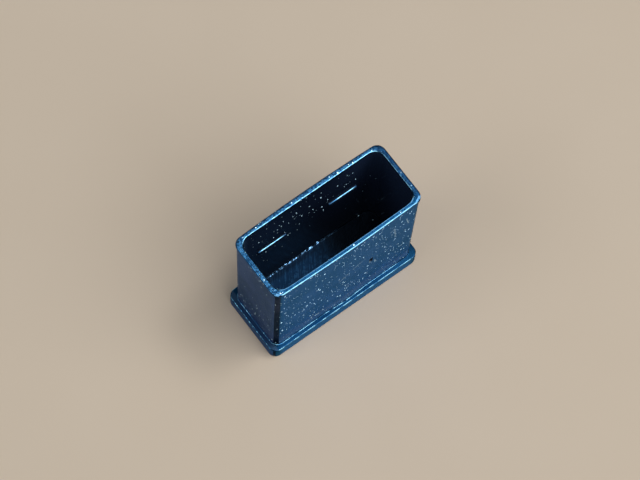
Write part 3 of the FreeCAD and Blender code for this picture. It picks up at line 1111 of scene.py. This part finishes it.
def dull_ends(tree, where, patch_pattern, dots):
    """The foot's left end and near edge, the rim's inner lines at both ends, and the right near corner."""
    foot_end = zone(tree, where, "left end of the foot", "foot and root")
    near_edge = zone(tree, where, "near edge of the foot")
    rim_ends = largest(
        tree, zone(tree, where, "right end of the rim"), zone(tree, where, "left end of the rim")
    )
    inner = times(tree, rim_ends, zone(tree, where, "rim", "behind the near line"))
    corner = zone(tree, where, "right corner", "near corner")
    return largest(
        tree,
        times(tree, foot_end, ease(tree, dots, *FOOT_DOTS)),
        times(tree, near_edge, ease(tree, patch_pattern, *FOOT_PATCHES)),
        times(tree, inner, ease(tree, patch_pattern, *END_PATCHES)),
        times(tree, corner, ease(tree, dots, *CORNER_DOTS)),
    )


def dull_ridge(tree, where, size):
    """The ends of the ridges, where their lines fade out."""
    off = calculate(tree, "ABSOLUTE", calculate(tree, "SUBTRACT", where["Z"], RIDGE_HEIGHT))
    lit = zone(tree, size, "ridge from its middle end", "ridge from its outer end")
    return times(tree, fade(tree, off, *RIDGE_REACH), rest_of(tree, lit))


def dull_rounds(tree, place, patch_pattern):
    """A mask of all the places on the rounds that stay dark, with a gap at the foot's near left corner."""
    where, size = place_and_sizes(tree, place)
    gap = use_effect(tree, MARK, place, {"Start": GAP_AT, "End": GAP_AT, "Radius": GAP_RADIUS})["Mask"]
    dots = fade(tree, use_effect(tree, GRAIN, place, DOT_FINENESS)["Grain"], *DOTS)
    return largest(
        tree,
        fade(tree, gap, *GAP_EDGE),
        dull_rim(tree, where, size, patch_pattern),
        dull_root(tree, where, size, patch_pattern),
        dull_ends(tree, where, patch_pattern, dots),
        dull_ridge(tree, where, size),
    )


print("zones named so far:", len(ZONES))

# %% [markdown]
# ## The edges' painted highlight
# The rounds of the rim and the foot and the crests of the ridges get a clear blue metallic shader with
# little roughness, much lighter than the walls: a real gloss, with a painted highlight in its colour, so it
# draws the thin bright lines there. The near outer round is lighter still, as painted highlight. Only the
# inner round of the near side is a matt, paler blue that isn't metallic, a painted highlight line.

# %% Mix the edge polish
# EDGE_DEEP and EDGE_LIGHT carry the painted highlight. EDGE_NAVY takes it off where the rounds stay dark,
# as painted shade on some sides.
EDGE_DEEP, EDGE_LIGHT = (0.08, 0.30, 0.60, 1), (0.32, 0.74, 1.0, 1)
EDGE_NAVY = (0.012, 0.050, 0.120, 1)
# The inner line's colours are a painted highlight.
INNER_LINE_DEEP, INNER_LINE_LIGHT = (0.11, 0.37, 0.76, 1), (0.20, 0.55, 0.95, 1)
EDGE_TINT = (0.5, 0.8, 1.0, 1)
EDGE_FINENESS, EDGE_PATCH_PATTERN = {"Fineness": 2.5}, (0.38, 0.60)
EDGE_ROUGHNESS, EDGE_BUMP_MM = (0.1, 0.10), 0.003
# NEAR_LINE_SHARE lightens the near outer round, as painted highlight.
NEAR_LINE_SHARE = 0.5
ZONES |= {
    "near outer round": ("Y", -2.50, -2.56),
    "near inner round from inside": ("Y", -2.10, -2.30),
    "near inner round from outside": ("Y", -2.54, -2.50),
}


def mix_edge_painted_highlight():
    """The finish of the rounds that draw bright lines, with a painted highlight in its colour."""
    finish, tree, shader = new_finish("edge_painted_highlight", EDGE_TINT)
    place = place_in_mm(tree)
    where = split(tree, place)
    grain = use_effect(tree, GRAIN, place, EDGE_FINENESS)
    patch_pattern = fade(tree, grain["Grain"], *EDGE_PATCH_PATTERN)
    near_line = times(tree, zone(tree, where, "rim", "near outer round"), NEAR_LINE_SHARE)
    colour = blend_colours(tree, largest(tree, patch_pattern, near_line), EDGE_DEEP, EDGE_LIGHT)
    colour = blend_colours(tree, dull_rounds(tree, place, patch_pattern), colour, EDGE_NAVY)
    painted_inner_line = zone(tree, where, "rim", "near inner round from inside", "near inner round from outside")
    painted_inner_blue = blend_colours(tree, patch_pattern, INNER_LINE_DEEP, INNER_LINE_LIGHT)
    colour = blend_colours(tree, painted_inner_line, colour, painted_inner_blue)
    roughness = ease(tree, grain["Cloud"], *EDGE_ROUGHNESS)
    feed(tree, shader, Base_Color=colour, Metallic=rest_of(tree, painted_inner_line), Roughness=roughness)
    bump_from(tree, shader, grain["Grain"], EDGE_BUMP_MM)
    return finish


edge_painted_highlight = mix_edge_painted_highlight()
print("mixed", edge_painted_highlight.name, "with", len(edge_painted_highlight.node_tree.nodes), "nodes")

# %% [markdown]
# ## The sandy land
# The flat land of the mouth is rougher than the rounds beside it: a sandy pattern of light and deep blue
# with a coarse bump. Single grains in it sparkle, so their shading leans towards the front light. The land
# is painted a plainer, deeper blue along the near side and darker at the right end, both painted shade.

# %% Mix the rim's sand
SAND_DEEP, SAND_LIGHT = (0.016, 0.085, 0.22, 1), (0.09, 0.36, 0.74, 1)
# Painted shade: SAND_SHADE at the right end, SAND_NEAR along the near side.
SAND_SHADE, SAND_NEAR = (0.012, 0.060, 0.170, 1), (0.008, 0.130, 0.340, 1)
SPARKLE, SPARKLE_TILT = (0.62, 0.90, 1.0, 1), (0, -0.44, 0)
SPARKLE_GRAINS = {"Per mm": 6.0, "Radius": 0.07, "Cover": 0.3}
SAND_FINENESS, SAND_PATTERN = {"Fineness": 7.0}, (0.38, 0.62)
SAND_ROUGHNESS, SAND_BUMP_MM = (0.2, 0.3), 0.02
RIGHT_SHARE, NEAR_SHARE = 0.72, 0.85
ZONES |= {
    "right end of the land": ("X", 5.7, 6.2),
    "near side of the land": ("Y", -1.8, -2.2),
    "right of the left corner": ("X", -6.0, -5.4),
}


def mix_rim_sand():
    """The finish of the flat land of the mouth."""
    finish, tree, shader = new_finish("rim_sand", EDGE_TINT)
    place = place_in_mm(tree)
    where = split(tree, place)
    grain = use_effect(tree, GRAIN, place, SAND_FINENESS)
    right_end = times(tree, zone(tree, where, "right end of the land"), RIGHT_SHARE)
    near_side = zone(tree, where, "near side of the land", "right of the left corner")
    grains = use_effect(tree, DUST, place, SPARKLE_GRAINS)["Mask"]
    sparkle = times(tree, grains, rest_of(tree, right_end))
    colour = blend_colours(tree, fade(tree, grain["Grain"], *SAND_PATTERN), SAND_DEEP, SAND_LIGHT)
    colour = blend_colours(tree, times(tree, near_side, NEAR_SHARE), colour, SAND_NEAR)
    colour = blend_colours(tree, right_end, colour, SAND_SHADE)
    colour = blend_colours(tree, sparkle, colour, SPARKLE)
    feed(tree, shader, Base_Color=colour, Roughness=ease(tree, grain["Cloud"], *SAND_ROUGHNESS))
    bump_from(tree, shader, grain["Grain"], SAND_BUMP_MM, scale_vector(tree, SPARKLE_TILT, sparkle))
    return finish


rim_sand = mix_rim_sand()
print("mixed", rim_sand.name, "with", len(rim_sand.node_tree.nodes), "nodes")

# %% [markdown]
# ## The cavity's floor
# The floor of the cavity is a dark blue with fine slanting lines, as a ground core would print them. Their
# pattern is a noise that is turned and stretched. A blotchy, ragged sheen runs along the far edge of the
# floor and is strongest near its middle: it is a painted highlight.

# %% Draw the floor's lines and its sheen
STREAK_TURN = math.radians(53)
STREAK_LENGTH, STREAK_WIDTH = 1.6, 0.12
STREAK_FINENESS, STREAKS = {"Fineness": 1.0}, (0.44, 0.60)
SHEEN_GROWTH, SHEEN_BREAKS = (0.5, 0.5), (0.7, 0.3)
ZONES |= {
    "low edge": ("Z", 1.04, 0.98),
    "far edge": ("Y", 2.25, 2.28),
    "sheen from the left": ("X", -4.5, -2.0),
    "sheen from the right": ("X", 3.4, 1.4),
}


def floor_streaks(tree, place):
    """The slanting lines of the floor."""
    turn_and_stretch = {"Rotation": (0, 0, STREAK_TURN), "Scale": (STREAK_LENGTH, STREAK_WIDTH, 1.0)}
    turned = add_node(tree, "ShaderNodeMapping", turn_and_stretch, vector_type="TEXTURE")
    feed(tree, turned, Vector=place)
    grain = use_effect(tree, GRAIN, turned.outputs["Vector"], STREAK_FINENESS)
    return fade(tree, grain["Grain"], *STREAKS)


def edge_sheen(tree, where, streak, blotch):
    """The ragged line along the floor's far edge, stronger towards its middle."""
    grown = ease(tree, zone(tree, where, "sheen from the left"), *SHEEN_GROWTH)
    broken = times(tree, blotch, ease(tree, streak, *SHEEN_BREAKS))
    return times(tree, zone(tree, where, "low edge", "far edge", "sheen from the right"), grown, broken)


print("floor lines slant by", round(math.degrees(STREAK_TURN)), "degrees")

# %% [markdown]
# ## The cavity's skin
# Inside, the cap is nearly black and smooth, with stray dust on the upper part of its walls. The walls are
# painted a little lighter towards the right, as painted light. The floor's colour and lines are laid over
# that, and the floor is painted black towards its right and darker by the far wall, as painted shade. The
# sheen is painted a pale blue, a painted highlight, and its shading is turned upwards, as on a small step,
# so that it catches the light.

# %% Mix the cavity's skin
# CAVITY_RIGHT is painted light on the right of the walls.
CAVITY_BLACK, CAVITY_RIGHT = (0.008, 0.014, 0.034, 1), (0.0145, 0.026, 0.058, 1)
# FLOOR_BLACK is painted shade, on the floor's right and by the far wall.
FLOOR_BLACK = (0.004, 0.008, 0.018, 1)
FLOOR_BLUE, STREAK_BLUE = (0.012, 0.058, 0.160, 1), (0.030, 0.136, 0.330, 1)
CAVITY_TINT, CAVITY_GLOSS = (0.4, 0.7, 1.0, 1), 0.15
CAVITY_ROUGHNESS, CAVITY_BUMP_MM = (0.2, 0.15), 0.006
CAVITY_DUST, LEFTWARD_COVER = {"Per mm": 6.0, "Radius": 0.060}, (0.22, 0.12)
BLOTCH_FINENESS, BLOTCHES = {"Fineness": 3.0}, (0.40, 0.56)
# SHEEN_BLUE is a painted highlight.
SHEEN_BLUE = (0.26, 0.58, 1.0, 1)
SHEEN_LIFT, SHEEN_SHINE = (0.3, 0, 4.0), 0.5
WALL_SHADE_SHARE = 0.6
ZONES |= {
    "floor": ("Z", 1.0, 0.8),
    "level floor": ("Z", FLOOR_TOP + 0.04, FLOOR_TOP + 0.01),
    "left of the cavity": ("X", 5.0, 0.0),
    "right of the cavity": ("X", 1.0, 4.5),
    "upper walls": ("Z", 4.0, 10.0),
    "floor by the far wall": ("Y", 1.70, 2.00),
    "dark right of the floor": ("X", -0.8, 2.8),
}


def mix_cavity_skin():
    """The finish of the inner walls and the cavity's floor."""
    finish, tree, shader = new_finish("cavity_skin", CAVITY_TINT, metallic=0.0)
    place = place_in_mm(tree)
    where = split(tree, place)
    streak = floor_streaks(tree, place)
    blotch = fade(tree, use_effect(tree, GRAIN, place, BLOTCH_FINENESS)["Grain"], *BLOTCHES)
    sheen = edge_sheen(tree, where, streak, blotch)
    leftward = ease(tree, zone(tree, where, "left of the cavity"), *LEFTWARD_COVER)
    cover = ease(tree, zone(tree, where, "upper walls"), leftward, STRAY_COVER)
    dust = spread_dust(tree, place, CAVITY_DUST, Cover=cover)

    on_floor = zone(tree, where, "floor")
    floor_colour = blend_colours(tree, times(tree, streak, blotch), FLOOR_BLUE, STREAK_BLUE)
    by_wall = times(tree, zone(tree, where, "floor by the far wall"), WALL_SHADE_SHARE)
    dark = largest(tree, by_wall, zone(tree, where, "dark right of the floor"))
    floor_colour = blend_colours(tree, dark, floor_colour, FLOOR_BLACK)
    colour = blend_colours(tree, zone(tree, where, "right of the cavity"), CAVITY_BLACK, CAVITY_RIGHT)
    colour = blend_colours(tree, on_floor, colour, floor_colour)
    colour = blend_colours(tree, sheen, colour, SHEEN_BLUE)
    colour = blend_colours(tree, dust["Pale"], colour, DUST_PALE)
    shine = ease(tree, sheen, SHEEN_SHINE, times(tree, dust["Mask"], DUST_SHINE))
    roughness = ease(tree, on_floor, *CAVITY_ROUGHNESS)
    feed(tree, shader, Base_Color=colour, Metallic=shine, Roughness=roughness)
    shader.inputs["Specular IOR Level"].default_value = CAVITY_GLOSS
    tilt = calculate_vector(tree, "ADD", dust["Tilt"], scale_vector(tree, SHEEN_LIFT, sheen))
    height = times(tree, streak, zone(tree, where, "level floor"))
    bump_from(tree, shader, height, CAVITY_BUMP_MM, tilt)
    return finish


cavity_skin = mix_cavity_skin()
print("mixed", cavity_skin.name, "with", len(cavity_skin.node_tree.nodes), "nodes")

# %% [markdown]
# ## Telling the faces apart
# A face gets its finish by where its middle lies and which way it faces. The walls, the foot and the cavity
# are told apart by height and by the cavity's outline, and the upright corners by the slant of their faces.

# %% Find the walls, the foot and the corners
STRIP_START, FOOT_STRIP_START = math.sin(math.radians(27)), math.sin(math.radians(35))
LEFT_WALL_TURN, LEFT_TURN = -0.88, -0.7


def middle_mm(face):
    """The middle of a face, in millimetres."""
    return face.calc_center_median() / MM


def is_inside(face):
    """The cavity's walls, floor and ridges."""
    middle = middle_mm(face)
    within_x = abs(middle.x) < CAVITY_LENGTH / 2 + TINY
    within_y = abs(middle.y) < CAVITY_WIDTH / 2 + INNER_CROWN + TINY
    return within_x and within_y and FLOOR_TOP - TINY < middle.z < CAP_HEIGHT - INNER_RIM_ROUND


def is_wall_height(height):
    """A height between the root of the walls and the rim's outer round."""
    return FLANGE_TOP + ROOT_FILLET < height < CAP_HEIGHT - OUTER_RIM_ROUND


def is_foot_height(height):
    """A height on the foot, below its upper round."""
    return height < FLANGE_TOP - FLANGE_ROUND


def is_left_end(face):
    """The left end wall, between the foot and the rim."""
    on_wall = is_wall_height(middle_mm(face).z) and not is_inside(face)
    return on_wall and face.normal.x < LEFT_WALL_TURN


def is_foot_end(face):
    """The left side of the foot."""
    return is_foot_height(middle_mm(face).z) and face.normal.x < LEFT_TURN


def is_corner_strip(face):
    """The middle of the walls' upright rounds, and a narrower strip at the foot's near left corner."""
    middle = middle_mm(face)
    slant = min(abs(face.normal.x), abs(face.normal.y))
    on_wall = is_wall_height(middle.z) and slant > STRIP_START
    near_left = middle.x < 0 and middle.y < 0
    by_foot = is_foot_height(middle.z) and near_left and slant > FOOT_STRIP_START
    return (on_wall or by_foot) and not is_inside(face)


def is_pit(face):
    """The floor and the sides of the dent in the near wall."""
    middle = middle_mm(face)
    within_x = PIT_LEFT - TINY < middle.x < PIT_RIGHT + TINY
    within_z = PIT_LOW - TINY < middle.z < PIT_HIGH + TINY
    return within_x and within_z and middle.y < -CAVITY_WIDTH / 2 - INNER_CROWN


wall_tests = (is_inside, is_left_end, is_foot_end, is_corner_strip, is_pit)
print("face tests:", [test.__name__ for test in wall_tests])

# %% [markdown]
# ## The rounds and the land
# The rounds are narrow bands of faces that turn from upright to level, so they are found by how far each
# face's normal rises. The same rise parts the rim's outer round into a dark lower and a sandy upper band.

# %% Find the rounds and the land
RIM_ROUND_RISE, UPPER_ROUND_RISE = 0.5, 0.8
FOOT_ROUND_RISE, CREST_RISE = (0.1, 0.98), (0.8, 0.97)
CREST_TURN = 0.2
NEAR_SIDE_END = -2.3


def is_round(face):
    """The rounds of the rim, the foot's upper edge and the root of the walls, and the ridges' crests."""
    middle = middle_mm(face)
    rise = face.normal.z
    outer = is_outside(middle)
    rim_round = OUTER_RIM_ROUND if outer else INNER_RIM_ROUND
    on_rim = middle.z > CAP_HEIGHT - rim_round and (rise > RIM_ROUND_RISE or not outer)
    by_ledge = FLANGE_TOP - FLANGE_ROUND < middle.z < FLANGE_TOP + ROOT_FILLET
    on_foot = by_ledge and FOOT_ROUND_RISE[0] < rise < FOOT_ROUND_RISE[1]
    near_crest = is_inside(face) and abs(middle.z - RIDGE_HEIGHT) < RIDGE_HALF_BAND
    on_crest = near_crest and CREST_RISE[0] < rise < CREST_RISE[1] and abs(face.normal.x) < CREST_TURN
    return on_rim or on_foot or on_crest


def is_far_round(face):
    """The rim's outer round away from the near side."""
    middle = middle_mm(face)
    on_round = middle.z > CAP_HEIGHT - OUTER_RIM_ROUND and is_outside(middle)
    return on_round and middle.y > NEAR_SIDE_END


def is_outline(face):
    """The lower part of the rim's outer round, on its far and right sides."""
    low = face.normal.z <= UPPER_ROUND_RISE
    return low and is_far_round(face) and face.normal.x > LEFT_TURN


def is_land(face):
    """The flat land of the mouth, and the upper part of the outer round away from the near side."""
    high = face.normal.z > UPPER_ROUND_RISE
    return middle_mm(face).z > CAP_HEIGHT - TINY or (high and is_far_round(face))


print("face tests:", [test.__name__ for test in (is_round, is_outline, is_land)])

# %% [markdown]
# ## Coat the cap
# Each finish gets a slot of the mesh. The first one goes all over, and each later one takes its faces from
# those before it, so the order matters.

# %% Give the faces their finishes
def coat(piece, finish, wanted):
    """Adds a finish to a piece and gives it the faces for which wanted says yes."""
    piece.data.materials.append(finish)
    piece.active_material_index = len(piece.data.materials) - 1
    bpy.ops.object.mode_set(mode="EDIT")
    count = pick(piece, "FACE", wanted)
    bpy.ops.object.material_slot_assign()
    bpy.ops.object.mode_set(mode="OBJECT")
    print(finish.name, "on", count, "faces")


bpy.context.view_layer.objects.active = cap
coat(cap, outer_skin, lambda face: True)
# The left end, its foot, the rim's outline, the corners and the pit get finishes of painted shade.
coat(cap, dull_skins["end_painted_shade"], is_left_end)
coat(cap, dull_skins["foot_end"], is_foot_end)
coat(cap, cavity_skin, is_inside)
coat(cap, edge_painted_highlight, is_round)
coat(cap, rim_sand, is_land)
coat(cap, dull_skins["rim_outline_painted_shade"], is_outline)
coat(cap, dull_skins["corner_and_pit_painted_shade"], lambda face: is_corner_strip(face) or is_pit(face))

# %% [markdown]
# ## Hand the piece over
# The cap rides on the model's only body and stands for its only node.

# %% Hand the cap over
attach(cap, "root")
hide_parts("plug_cap")
